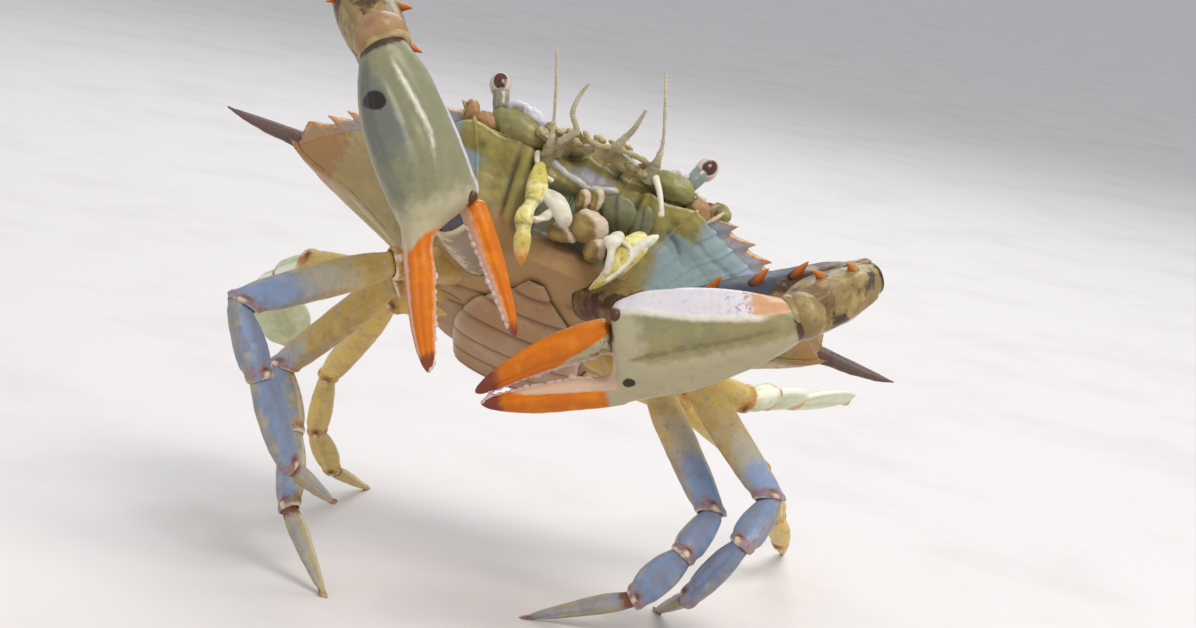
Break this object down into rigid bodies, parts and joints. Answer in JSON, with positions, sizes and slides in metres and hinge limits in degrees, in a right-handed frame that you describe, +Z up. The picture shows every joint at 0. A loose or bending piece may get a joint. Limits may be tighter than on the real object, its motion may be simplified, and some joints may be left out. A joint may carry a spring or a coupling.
{
  "type": "blue crab",
  "caption": "Life-size still model of an adult female Atlantic blue crab, body raised on its walking legs, both claws held forward.",
  "frame": {"origin": "centre of the model's footprint box, on the floor that its feet stand on", "axes": "+Z up, -Y the way the mouth and underside face, +X to the crab's left"},
  "size_m": [0.1464, 0.1366, 0.1242],
  "materials": {
    "back_shell": "calcified chitin shell, satin and finely granular, grey-olive with blue and orange-brown edges",
    "under_shell": "calcified chitin shell, smooth satin, pale olive to blue-white",
    "apron": "calcified chitin shell, smooth satin, pinkish brown",
    "mouth_plate": "chitin plate with bristle edges, yellow and cream",
    "eye": "glossy dark faceted eye on a mottled stalk",
    "feeler": "slender pale chitin, satin",
    "claw_arm": "calcified chitin shell, satin, olive, tan and dark blue",
    "claw_palm": "calcified chitin shell, smooth satin, olive cream with blue-white ridges and orange fixed finger",
    "claw_finger": "calcified chitin shell, smooth satin, deep orange with pale teeth",
    "leg_upper": "chitin shell, satin, ochre fading to blue-grey",
    "leg_lower": "chitin shell, satin, periwinkle blue with orange joints",
    "paddle": "thin chitin shell, satin, yellow-green with a bristle fringe"
  },
  "bodies": {
    "root": {"abdomen": "apron", "antenna_left": "feeler", "antenna_right": "feeler", "antennule_left": "feeler", "antennule_right": "feeler", "carapace": "back_shell", "cheliped_left_arm": "claw_arm", "cheliped_left_base": "claw_arm", "cheliped_left_finger": "claw_finger", "cheliped_left_hand": "claw_palm", "cheliped_left_wrist": "claw_arm", "cheliped_right_arm": "claw_arm", "cheliped_right_base": "claw_arm", "cheliped_right_finger": "claw_finger", "cheliped_right_hand": "claw_palm", "cheliped_right_wrist": "claw_arm", "eye_left": "eye", "eye_right": "eye", "leg_left_2_base": "leg_upper", "leg_left_2_carpus": "leg_lower", "leg_left_2_dactyl": "leg_lower", "leg_left_2_merus": "leg_upper", "leg_left_2_propodus": "leg_lower", "leg_left_3_base": "leg_upper", "leg_left_3_carpus": "leg_lower", "leg_left_3_dactyl": "leg_lower", "leg_left_3_merus": "leg_upper", "leg_left_3_propodus": "leg_lower", "leg_left_4_base": "leg_upper", "leg_left_4_carpus": "leg_lower", "leg_left_4_dactyl": "leg_lower", "leg_left_4_merus": "leg_upper", "leg_left_4_propodus": "leg_lower", "leg_left_5_carpus": "paddle", "leg_left_5_merus": "leg_upper", "leg_left_5_paddle": "paddle", "leg_left_5_propodus": "paddle", "leg_right_2_base": "leg_upper", "leg_right_2_carpus": "leg_lower", "leg_right_2_dactyl": "leg_lower", "leg_right_2_merus": "leg_upper", "leg_right_2_propodus": "leg_lower", "leg_right_3_base": "leg_upper", "leg_right_3_carpus": "leg_lower", "leg_right_3_dactyl": "leg_lower", "leg_right_3_merus": "leg_upper", "leg_right_3_propodus": "leg_lower", "leg_right_4_base": "leg_upper", "leg_right_4_carpus": "leg_lower", "leg_right_4_dactyl": "leg_lower", "leg_right_4_merus": "leg_upper", "leg_right_4_propodus": "leg_lower", "leg_right_5_carpus": "paddle", "leg_right_5_merus": "leg_upper", "leg_right_5_paddle": "paddle", "leg_right_5_propodus": "paddle", "maxilliped_left": "mouth_plate", "maxilliped_right": "mouth_plate", "thorax": "under_shell"}
  },
  "joints": []
}
